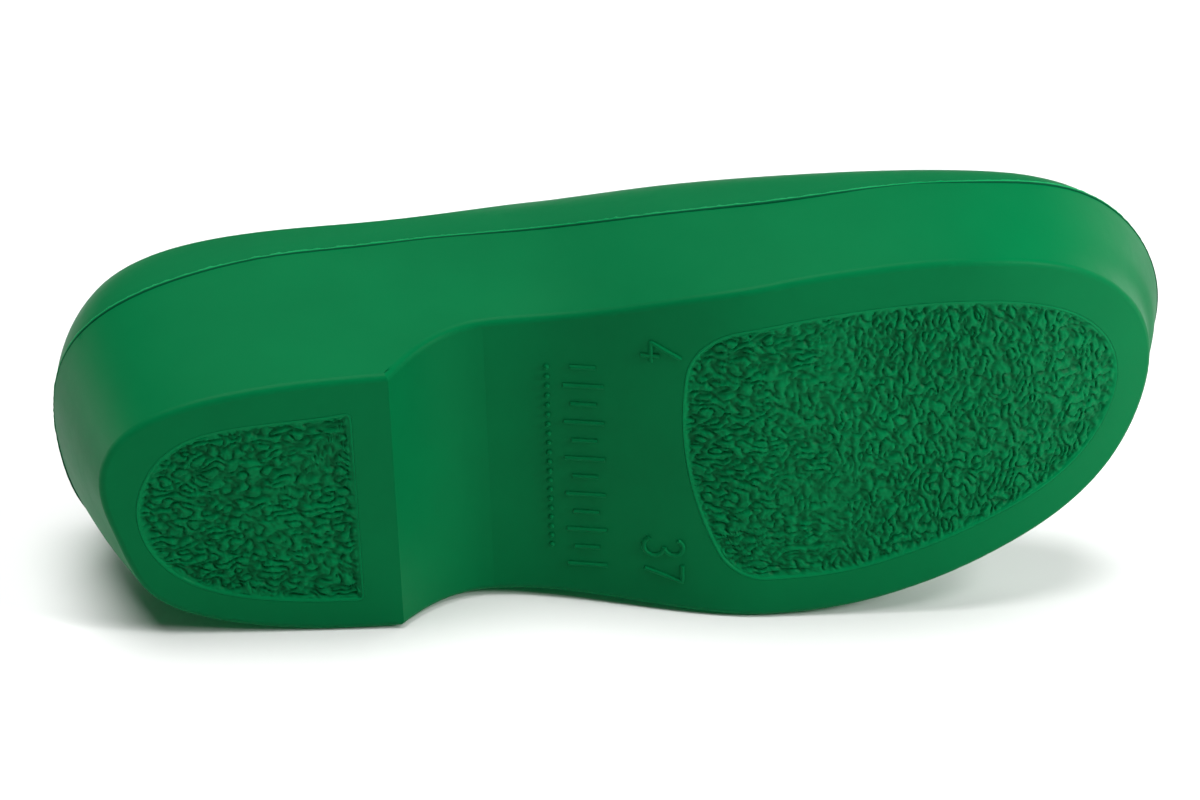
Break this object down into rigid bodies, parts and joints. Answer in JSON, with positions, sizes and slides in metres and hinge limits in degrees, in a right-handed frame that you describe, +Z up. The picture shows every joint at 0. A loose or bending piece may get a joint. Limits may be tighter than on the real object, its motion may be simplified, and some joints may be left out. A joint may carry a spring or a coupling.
{
  "type": "garden clog",
  "caption": "Closed-toe moulded clog for wet garden work, with a raised heel, wrinkle-textured tread pads, a low collar and a loose cork footbed that lifts at the heel.",
  "frame": {"origin": "on the ground, under the centre of the clog's bounding box", "axes": "+X to the toe, +Y to the outer (little toe) side of this left clog, +Z up; the clog stands on its sole"},
  "size_m": [0.2616, 0.1014, 0.0868],
  "materials": {
    "green_rubber": "satin moulded, soft broad sheen",
    "tread_rubber": "wrinkled grain, satin",
    "cork": "fine pressed cork, matt",
    "cover_textile": "short brushed textile, matt"
  },
  "bodies": {
    "shell": {"sole_unit": "green_rubber", "upper": "green_rubber", "forefoot_pad": "tread_rubber", "heel_pad": "tread_rubber"},
    "footbed": {"cork_footbed": "cork", "footbed_cover": "cover_textile"}
  },
  "joints": [
    {"name": "footbed_lift", "type": "hinge", "parent": "shell", "child": "footbed", "pos_m": [0.1211, 0, 0.0294], "axis": [0, 1, 0], "range_deg": [0, 9]}
  ]
}
